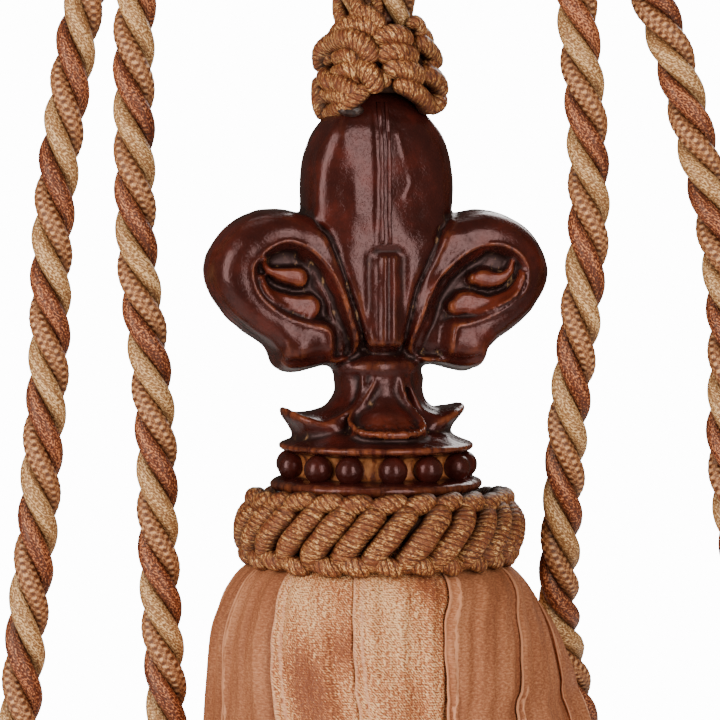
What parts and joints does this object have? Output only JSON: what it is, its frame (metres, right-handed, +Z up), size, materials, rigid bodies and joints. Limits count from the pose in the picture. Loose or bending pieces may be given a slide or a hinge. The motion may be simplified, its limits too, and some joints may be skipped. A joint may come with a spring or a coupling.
{
  "type": "curtain tieback tassel",
  "caption": "Hanging curtain tieback tassel: twisted cord loops, a knotted head, a moulded fleur-de-lis finial with a beaded base, a knotted collar and a bell-shaped ribbon skirt.",
  "frame": {"origin": "on the finial's axis, level with the cords' centres at the top of their arches, where the tassel is held up", "axes": "+Z up along the tassel, -Y towards the viewer at the tassel's front, +X to the viewer's right"},
  "size_m": [0.1863, 0.101, 0.3208],
  "materials": {
    "lacquer": "antiqued mahogany lacquer on moulded resin",
    "gimp": "mottled tan and rust gimp cord",
    "cord": "three-ply twisted cord: tan, russet and ribbed gimp",
    "satin": "copper-rose satin ribbon",
    "organza": "terracotta organza ribbon"
  },
  "bodies": {
    "root": {"collar": "gimp", "finial": "lacquer", "left_loop": "cord", "organza_ribbon_1": "organza", "organza_ribbon_2": "organza", "organza_ribbon_3": "organza", "organza_ribbon_4": "organza", "organza_ribbon_5": "organza", "organza_ribbon_6": "organza", "organza_ribbon_7": "organza", "right_loop": "cord", "satin_ribbon_1": "satin", "satin_ribbon_2": "satin", "satin_ribbon_3": "satin", "satin_ribbon_4": "satin", "satin_ribbon_5": "satin", "satin_ribbon_6": "satin", "top_knot": "gimp"}
  },
  "joints": []
}
